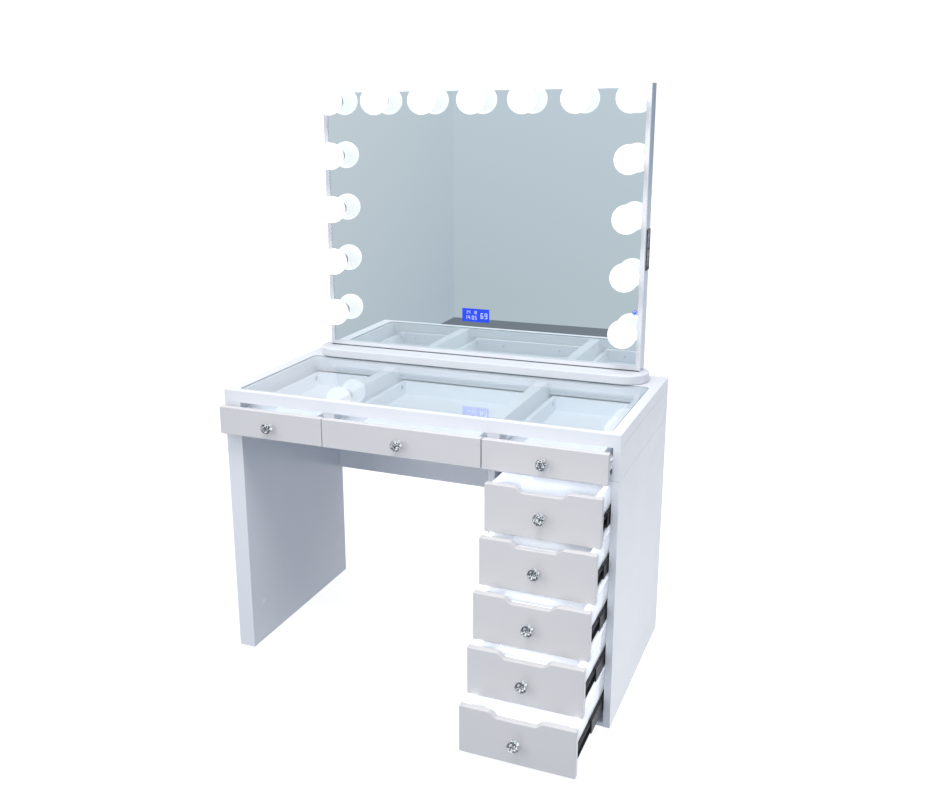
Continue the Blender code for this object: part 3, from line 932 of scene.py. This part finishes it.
class STATION_OT_mirror(bpy.types.Operator):
    """Finish the mirror with its frame, housing and base plate"""

    bl_idname = "station.mirror"
    bl_label = "Mirror"

    def execute(self, context):
        dress("mirror_frame", "lacquer")
        dress("mirror_glass", "mirror")
        dress("mirror_housing", "silver")
        low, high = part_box("mirror_base")
        shape = Shape("mirror_base_plate", "lacquer")
        radius = (high.y - low.y) / 2 - 0.05 * MM
        shape.slab(round_outline(low.x, high.x, low.y, high.y, radius, 24), "Z", (low.z, high.z))
        mount(shape.made(3.2 * MM, 4), "desk", "lacquer", "mirror_base")
        # Dark strips that paint the shadow lines under the base plate and the mirror.
        self.painted_shadow_strips(low, high)
        self.back()
        return {"FINISHED"}

    def painted_shadow_strips(self, low, high):
        """Dark rubber strips under the base plate and under the front edge of the mirror, which paint the shadow lines
        there.
        """
        shape = Shape("mirror_painted_shadow_strips", "shadow_strip_rubber")
        inset = 1.4 * MM
        radius = (high.y - low.y) / 2 - inset - 0.05 * MM
        outline = round_outline(low.x + inset, high.x - inset, low.y + inset, high.y - inset, radius, 24)
        shape.slab(outline, "Z", (low.z - 0.25 * MM, low.z + 1.3 * MM))
        edge_low, edge_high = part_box("mirror_frame")
        shape.board(
            (edge_low.x + 2 * MM, edge_low.y - 1.6 * MM, high.z - 0.2 * MM),
            (edge_high.x - 2 * MM, edge_low.y - 0.1 * MM, high.z + 2.2 * MM),
        )
        mount(shape.made(), "desk", "socket_black")

    def back(self):
        """Screws round the back cover, hanging plates and vent louvres."""
        low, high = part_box("mirror_housing")
        shape = Shape("housing_back_fittings", "zinc", "silver")
        y = high.y
        columns, rows = 6, 5
        for i in range(columns):
            x = low.x + 14 * MM + (high.x - low.x - 28 * MM) * i / (columns - 1)
            for j in range(rows):
                z = low.z + 14 * MM + (high.z - low.z - 28 * MM) * j / (rows - 1)
                if i in (0, columns - 1) or j in (0, rows - 1):
                    screw_head(shape, (x, y, z), TO_BACK, 3.5 * MM)
        for x in (low.x + 180 * MM, high.x - 180 * MM):
            z = high.z - 90 * MM
            plate = round_outline(x - 22 * MM, x + 22 * MM, z - 14 * MM, z + 14 * MM, 5 * MM, 4)
            shape.slab(plate, "Y", (y, y + 1.5 * MM))
            for dx in (-15 * MM, 15 * MM):
                screw_head(shape, (x + dx, y + 1.5 * MM, z), TO_BACK, 3.2 * MM)
        middle = (low.x + high.x) / 2
        for side in (-1, 1):
            for k in range(9):
                x = middle + side * 240 * MM
                z = low.z + 150 * MM + k * 12 * MM
                blade = [(-0.1, 0.0), (3.0, -1.0), (3.4, -3.0), (-0.1, -7.0)]
                louvre = [(y + out * MM, z + up * MM) for out, up in blade]
                shape.slab(louvre, "X", (x - 45 * MM, x + 45 * MM), 1)
        mount(shape.made(0.3 * MM), "desk", "silver_paint")


class STATION_OT_lamps(bpy.types.Operator):
    """Make the opal globes with their collars, holders and rails"""

    bl_idname = "station.lamps"
    bl_label = "Lamps"

    def execute(self, context):
        s = context.scene.station_sizes
        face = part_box("mirror_frame")[0].y
        top_low, top_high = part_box("lamps_top")
        reach = s.globe_radius
        count = 7
        first, last = top_low.x + reach, top_high.x - reach
        top_z = (top_low.z + top_high.z) / 2
        row = [(first + (last - first) * i / (count - 1), top_z) for i in range(count)]
        self.row(s, "top", row, face, (top_low.x + 18 * MM, top_high.x - 18 * MM), (top_z - 12 * MM, top_z + 12 * MM))
        side_low, side_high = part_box("lamps_left")
        lowest, highest = side_low.z + reach, side_high.z - reach
        for side, x in zip(SIDES, (first, last)):
            column = [(x, highest - (highest - lowest) * i / 3) for i in range(4)]
            self.row(s, side, column, face, (x - 12 * MM, x + 12 * MM), (lowest - 22 * MM, highest + 22 * MM))
        return {"FINISHED"}

    def row(self, s, side, spots, face, rail_x, rail_z):
        """Globes on one side of the mirror, each in its collar, with the rail that carries them."""
        globes = Shape("lamp_globes_" + side, "globe")
        holders = Shape("lamp_holders_" + side, "fitting")
        r, out = s.globe_radius, s.globe_out
        neck = math.pi - math.asin(17 * MM / r)
        steps = 26
        profile = [(out + r * math.cos(neck * i / steps), r * math.sin(neck * i / steps)) for i in range(steps + 1)]
        profile[0] = (out + r, 0.0)
        profile += [(5.5 * MM, 17 * MM), (5.5 * MM, 0.0)]
        collar = [(6.0, 0.0), (6.0, 17.6), (5.4, 19.0), (4.2, 19.5), (2.6, 19.5), (2.6, 17.0)]
        collar += [(-15.5, 16.6), (-15.5, 0.0)]
        for x, z in spots:
            globes.turned(profile, (x, face, z), TO_FRONT, 48)
            holders.turned(scaled(collar), (x, face, z), TO_FRONT, 36)
        holders.board((rail_x[0], face + 16 * MM, rail_z[0]), (rail_x[1], face + 19 * MM, rail_z[1]))
        mount(globes.made(), "desk", "lamp_white", "lamps_" + side)
        mount(holders.made(), "desk", "lamp_white")


SEGMENTS = {
    "0": "abcdef", "1": "bc", "2": "abdeg", "3": "abcdg", "4": "bcfg",
    "5": "acdfg", "6": "acdefg", "7": "abc", "8": "abcdefg", "9": "abcdfg",
}


def digit(shape, text, x, z, height, y, depth):
    """One figure built of seven bars, with its lower left corner at x, z."""
    width, bar = height * 0.5, height * 0.13
    half = height / 2
    places = {
        "a": (0, height - bar, width, height), "d": (0, 0, width, bar), "g": (0, half - bar / 2, width, half + bar / 2),
        "f": (0, half, bar, height), "b": (width - bar, half, width, height),
        "e": (0, 0, bar, half), "c": (width - bar, 0, width, half),
    }
    gap = bar * 0.18
    for key in SEGMENTS[text]:
        x0, z0, x1, z1 = places[key]
        shape.board((x + x0 + gap, y - depth, z + z0 + gap), (x + x1 - gap, y, z + z1 - gap))


class STATION_OT_controls(bpy.types.Operator):
    """Make the clock behind the glass and the touch dimmer"""

    bl_idname = "station.controls"
    bl_label = "Clock and dimmer"

    def execute(self, context):
        low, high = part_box("clock_display")
        pane = Shape("clock_pane", "display")
        front = low.y + 0.5 * MM
        pane.board((low.x, front, low.z), (high.x, high.y, high.z))
        mount(pane.made(0.3 * MM), "desk", "display_blue", "clock_display")
        shape = Shape("clock_digits", "digits")
        wide, tall = high.x - low.x, high.z - low.z
        depth = 0.25 * MM
        rows = (("24", 0.16, 0.60, 0.24), ("18", 0.40, 0.60, 0.24), ("14", 0.10, 0.16, 0.3), ("05", 0.36, 0.16, 0.3))
        rows += (("69", 0.68, 0.26, 0.44),)
        for text, across, up, share in rows:
            height = share * tall
            for i, figure in enumerate(text):
                digit(shape, figure, low.x + across * wide + i * height * 0.74, low.z + up * tall, height, front, depth)
        colon, dot = low.x + 0.318 * wide, 1.2 * MM
        for up in (0.24, 0.36):
            z = low.z + up * tall
            shape.board((colon, front - depth, z), (colon + dot, front, z + dot))
        mount(shape.made(), "desk", "display_blue")
        self.dimmer()
        return {"FINISHED"}

    def dimmer(self):
        """Lit touch ring with a bar above its middle."""
        low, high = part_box("touch_dimmer")
        centre = Vector(((low.x + high.x) / 2, high.y, (low.z + high.z) / 2))
        disc = Shape("touch_dimmer_disc", "display")
        disc.turned(scaled([(0.0, 0.0), (0.0, 7.0), (0.9, 6.8), (0.9, 0.0)]), centre, TO_FRONT, 40)
        mount(disc.made(), "desk", "display_blue", "touch_dimmer")
        mark = Shape("touch_dimmer_ring", "digits")
        ring = [(0.8, 4.2), (1.2, 4.2), (1.2, 5.2), (0.8, 5.2)]
        steps = 40
        verts = []
        for i in range(steps):
            angle = math.tau * i / steps
            verts.append([
                mark.bm.verts.new(centre + Vector((w * math.cos(angle), -h, w * math.sin(angle))) * MM) for h, w in ring
            ])
        faces = []
        for i in range(steps):
            one, two = verts[i], verts[(i + 1) % steps]
            for k in range(4):
                m = (k + 1) % 4
                faces.append(mark.bm.faces.new((one[k], one[m], two[m], two[k])))
        bmesh.ops.recalc_face_normals(mark.bm, faces=faces)
        mark.board(
            (centre.x - 0.5 * MM, centre.y - 1.2 * MM, centre.z + 0.3 * MM),
            (centre.x + 0.5 * MM, centre.y - 0.8 * MM, centre.z + 3.6 * MM),
        )
        mount(mark.made(), "desk", "display_blue")


class STATION_OT_sockets(bpy.types.Operator):
    """Make the socket strip in the side of the mirror"""

    bl_idname = "station.sockets"
    bl_label = "Socket strip"

    def execute(self, context):
        low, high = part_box("outlet_module")
        plate_x = high.x - 2 * MM
        mid_y, mid_z = (low.y + high.y) / 2, (low.z + high.z) / 2
        shape = Shape("socket_plate", "socket")
        shape.slab(round_outline(low.y, high.y, low.z, high.z, 3 * MM, 5), "X", (plate_x, high.x))
        shape.board(
            (low.x + 1 * MM, low.y + 4 * MM, low.z + 7 * MM),
            (plate_x + 0.5 * MM, high.y - 4 * MM, high.z - 7 * MM),
        )
        plate = shape.made(0.5 * MM)
        cutter = Shape("socket_cutter", "socket")
        depth = (high.x - 1.2 * MM, high.x + 5 * MM)
        sockets = (mid_z - 26 * MM, mid_z + 26 * MM)
        for z in sockets:
            well = round_outline(mid_y - 13.6 * MM, mid_y + 13.6 * MM, z - 20 * MM, z + 20 * MM, 3 * MM, 5)
            cutter.slab(well, "X", depth)
        carve(plate, cutter.made())
        mount(plate, "desk", "socket_black", "outlet_module")
        for number, z in enumerate(sockets):
            self.insert(number, z, mid_y, high.x)
        return {"FINISHED"}

    def insert(self, number, z, y, face):
        """One socket face, with two flat slots and a round earth hole, or two flat power ports."""
        shape = Shape("socket_insert_%d" % number, "socket_face")
        outline = round_outline(y - 13 * MM, y + 13 * MM, z - 19.4 * MM, z + 19.4 * MM, 2.6 * MM, 5)
        shape.slab(outline, "X", (face - 1.3 * MM, face - 0.35 * MM))
        obj = shape.made(0.25 * MM)
        cutter = Shape("insert_cutter_%d" % number, "socket_face")
        depth = (face - 0.9 * MM, face + 5 * MM)
        if number:
            for dy in (-6.3 * MM, 6.3 * MM):
                slot = round_outline(y + dy - 1.2 * MM, y + dy + 1.2 * MM, z - 1 * MM, z + 7 * MM, 0.3 * MM, 2)
                cutter.slab(slot, "X", depth)
            cutter.slab(round_outline(y - 2.4 * MM, y + 2.4 * MM, z - 12 * MM, z - 7.2 * MM, 2.3 * MM, 5), "X", depth)
        else:
            for dz in (-7 * MM, 7 * MM):
                port = round_outline(y - 6.4 * MM, y + 6.4 * MM, z + dz - 2.6 * MM, z + dz + 2.6 * MM, 0.6 * MM, 3)
                cutter.slab(port, "X", depth)
        carve(obj, cutter.made())
        mount(obj, "desk", "socket_black")


def room_painted_light(name, tones, axis, limits):
    """Wall seen in the mirror, glowing with painted light and shade. Its four tones are low and high in the corner,
    then low and high far from it.
    """
    mat, tree, output, place = blank(name)
    split = add(tree, "SeparateXYZ", {0: place}).outputs
    up = add(tree, "MapRange", {"Value": split[2], "From Min": 0.2, "From Max": 2.0}).outputs[0]
    along = add(tree, "MapRange", {"Value": split[axis], "From Min": limits[0], "From Max": limits[1]}).outputs[0]
    low, high, far_low, far_high = (rgba(linear(tone)) for tone in tones)
    tone = blended(tree, along, blended(tree, up, low, high), blended(tree, up, far_low, far_high))
    tree.links.new(add(tree, "Emission", {"Color": tone}).outputs[0], output.inputs[0])
    return mat


CAMERA_SPOT = (1.0738, -2.4373, 1.5514)
# Yaw, pitch and roll, in radians.
CAMERA_TURN = (0.4139, -0.2652, -0.0110)
CAMERA_LENS = 39.255
CAMERA_SHIFT = (0.04262, -0.01227)
FLOOR_RADIUS = 16.0
BACKDROP_RADIUS = 15.5

# The room that the mirror shows: its left, back, right and front edges, and its height.
ROOM = (-1.80, -3.84, 5.5, 0.6, 3.2)
# Glowing tones of the room with its light and shade painted in: darker low down and towards the corner.
SHADED_WALL = ("B8C3CC", "CDD7DD", "C8D0D7", "DADEE4")
BRIGHT_WALL = ("BFC9CF", "CFD9E1", "CBD4DB", "D8E0E5")
CARPET = ("7C838B", "7C838B", "8A9098", "8A9098")

# Name, place, aim, width in metres, watts and linear colour.
SOFTBOXES = (
    ("softbox_high_left", (-1.4, -1.8, 2.4), (-0.2, 0.0, 0.6), 1.2, 7.0, (1.0, 0.99, 0.98)),
    ("softbox_high_right", (0.4, -0.9, 2.8), (0.3, 0.0, 0.8), 0.8, 27.0, (1.0, 1.0, 1.0)),
    ("softbox_front_left", (-1.3, -2.2, 1.1), (-0.4, -0.1, 0.45), 0.8, 9.0, (1.0, 0.99, 0.97)),
    ("softbox_drawers", (0.45, -1.7, 0.8), (0.4, -0.15, 0.35), 0.7, 4.6, (1.0, 0.99, 0.98)),
    ("softbox_low_right", (1.5, -0.1, 0.05), (0.56, 0.0, 0.05), 0.6, 3.2, (1.0, 1.0, 1.0)),
    ("softbox_boxes", (0.95, -2.3, 1.45), (0.35, -0.1, 0.4), 0.4, 145.0, (0.97, 0.99, 1.0)),
)


class STATION_OT_studio(bpy.types.Operator):
    """Set up the floor, the room seen in the mirror, the light and the camera"""

    bl_idname = "station.studio"
    bl_label = "Studio"

    def execute(self, context):
        self.camera()
        self.floor()
        self.room()
        self.light()
        return {"FINISHED"}

    def camera(self):
        """Camera at the height of a standing person, to the right of the desk."""
        data = bpy.data.cameras.new("studio_camera")
        data.sensor_width = 36.0
        data.lens = CAMERA_LENS
        data.shift_x, data.shift_y = CAMERA_SHIFT
        eye = bpy.data.objects.new("studio_camera", data)
        yaw, pitch, roll = CAMERA_TURN
        ahead = Vector((-math.sin(yaw) * math.cos(pitch), math.cos(yaw) * math.cos(pitch), math.sin(pitch)))
        right = Vector((math.cos(yaw), math.sin(yaw), 0.0))
        up = right.cross(ahead)
        tilted = math.cos(roll) * right + math.sin(roll) * up
        upright = math.cos(roll) * up - math.sin(roll) * right
        turn = Matrix((tilted, upright, -ahead)).transposed()
        eye.matrix_world = Matrix.Translation(CAMERA_SPOT) @ turn.to_4x4()
        bpy.context.scene.collection.objects.link(eye)
        bpy.context.scene.camera = eye

    def floor(self):
        """Paper underfoot and behind."""
        # Seamless white paper on the floor, bright enough to lose its edge against the background.
        mat, tree, output, place = blank("seamless_paper")
        surface(tree, output, {
            "Base Color": blended(tree, clouds(tree, place, 3, 2), (0.40, 0.40, 0.40, 1), (0.42, 0.42, 0.42, 1)),
            "Roughness": 0.9,
            "Specular IOR Level": 0.0,
            "Emission Color": (1.0, 1.0, 1.0, 1.0),
            "Emission Strength": 0.8,
        })
        bm = bmesh.new()
        under = Matrix.Translation((0, 0, -0.2 * MM))
        bmesh.ops.create_circle(bm, cap_ends=True, segments=96, radius=FLOOR_RADIUS, matrix=under)
        obj = self.panel("studio_floor", bm, mat)
        obj.visible_diffuse = False
        obj.visible_shadow = False
        # White paper carried up behind the floor, for the camera alone.
        mat, tree, output, _ = blank("backdrop_paper")
        light = add(tree, "Emission", {"Color": (1.0, 1.0, 1.0, 1.0), "Strength": 1.1})
        tree.links.new(light.outputs[0], output.inputs[0])
        bm = bmesh.new()
        bmesh.ops.create_cone(bm, segments=96, radius1=BACKDROP_RADIUS, radius2=BACKDROP_RADIUS, depth=20.0)
        obj = self.panel("studio_backdrop", bm, mat)
        obj.visible_diffuse = False
        obj.visible_glossy = False
        obj.visible_shadow = False

    def panel(self, name, bm, mat):
        """A part of the stage, with its one finish."""
        data = bpy.data.meshes.new(name)
        bm.to_mesh(data)
        bm.free()
        data.materials.append(mat)
        obj = bpy.data.objects.new(name, data)
        bpy.context.scene.collection.objects.link(obj)
        return obj

    def room(self):
        """Walls and floor behind the camera, which only the mirror and the gloss see."""
        left, back, right, front, top = ROOM
        across, along = (0, (left, 1.4)), (1, (back, -1.4))
        height, edge = 2 * MM, -2.0
        carpet = ((left, back, height), (right, back, height), (right, edge, height), (left, edge, height))
        walls = {
            "room_wall_left": (self.wall((left, back), (left, front), top), SHADED_WALL, along),
            "room_wall_back": (self.wall((left, back), (right, back), top), BRIGHT_WALL, across),
            "room_wall_right": (self.wall((right, back), (right, front), top), SHADED_WALL, along),
            "room_floor": (carpet, CARPET, across),
        }
        for name, (corners, tones, (axis, limits)) in walls.items():
            bm = bmesh.new()
            bm.faces.new([bm.verts.new(c) for c in corners])
            obj = self.panel(name, bm, room_painted_light(name, tones, axis, limits))
            obj.visible_camera = False
            obj.visible_diffuse = False
            obj.visible_shadow = False
            obj.visible_transmission = False

    def wall(self, start, end, top):
        """Corners of an upright wall between two points of the floor."""
        return (*start, 0), (*end, 0), (*end, top), (*start, top)

    def light(self):
        """Soft light from all round, and softboxes that nothing reflects."""
        scene = bpy.context.scene
        world = bpy.data.worlds.new("studio_white")
        world.use_nodes = True
        tree = world.node_tree
        # The light falls from above and from the left, as from a high window.
        way = {0: add(tree, "TexCoord").outputs["Generated"], 1: (-0.2, 0.0, 1.0)}
        up = add(tree, "VectorMath", way, operation="DOT_PRODUCT").outputs["Value"]
        share = add(tree, "MapRange", {"Value": up, "From Min": 0.0, "From Max": 1.1}).outputs[0]
        tone = blended(tree, share, (0.24, 0.29, 0.36, 1.0), (1.38, 1.38, 1.42, 1.0))
        tree.links.new(tone, tree.nodes["Background"].inputs["Color"])
        tree.nodes["Background"].inputs["Strength"].default_value = 1.0
        scene.world = world
        scene.view_settings.view_transform = "Standard"
        scene.view_settings.look = "None"
        # White furniture lights its own insides, so light is followed through many matt bounces.
        scene.cycles.diffuse_bounces = 12
        scene.cycles.max_bounces = 24
        for name, spot, aim, width, power, tone in SOFTBOXES:
            data = bpy.data.lights.new(name, "AREA")
            data.size = width
            data.energy = power
            data.color = tone
            lamp = bpy.data.objects.new(name, data)
            lamp.location = spot
            lamp.rotation_euler = (Vector(aim) - Vector(spot)).to_track_quat("-Z", "Y").to_euler()
            lamp.visible_glossy = False
            lamp.visible_camera = False
            lamp.visible_transmission = False
            scene.collection.objects.link(lamp)
        # One softbox lights the drawer boxes alone, to lift the white of their insides.
        boxes = bpy.data.collections.new(LIT_BOXES)
        bpy.data.objects["softbox_boxes"].light_linking.receiver_collection = boxes


OPERATORS = (
    STATION_OT_studio,
    STATION_OT_boards,
    STATION_OT_glass_top,
    STATION_OT_fronts,
    STATION_OT_boxes,
    STATION_OT_slides,
    STATION_OT_knobs,
    STATION_OT_mirror,
    STATION_OT_lamps,
    STATION_OT_controls,
    STATION_OT_sockets,
)


class STATION_PT_pieces(bpy.types.Panel):
    """Lists the pieces of the station"""

    bl_idname = "STATION_PT_pieces"
    bl_label = "Styling station"
    bl_space_type = "VIEW_3D"
    bl_region_type = "UI"
    bl_category = "Station"

    def draw(self, context):
        for operator in OPERATORS:
            self.layout.operator(operator.bl_idname, text=operator.bl_label)
        for group in (context.scene.station_sizes, context.scene.station_colours):
            column = self.layout.column(heading=group.bl_rna.description)
            for name in group.__annotations__:
                column.prop(group, name)


CLASSES = (StationSizes, StationColours, *OPERATORS, STATION_PT_pieces)


def register():
    for cls in CLASSES:
        bpy.utils.register_class(cls)
    bpy.types.Scene.station_sizes = PointerProperty(type=StationSizes)
    bpy.types.Scene.station_colours = PointerProperty(type=StationColours)


def unregister():
    del bpy.types.Scene.station_colours
    del bpy.types.Scene.station_sizes
    for cls in reversed(CLASSES):
        bpy.utils.unregister_class(cls)


def main():
    register()
    for operator in OPERATORS:
        group, name = operator.bl_idname.split(".")
        getattr(getattr(bpy.ops, group), name)()


if __name__ == "__main__":
    main()
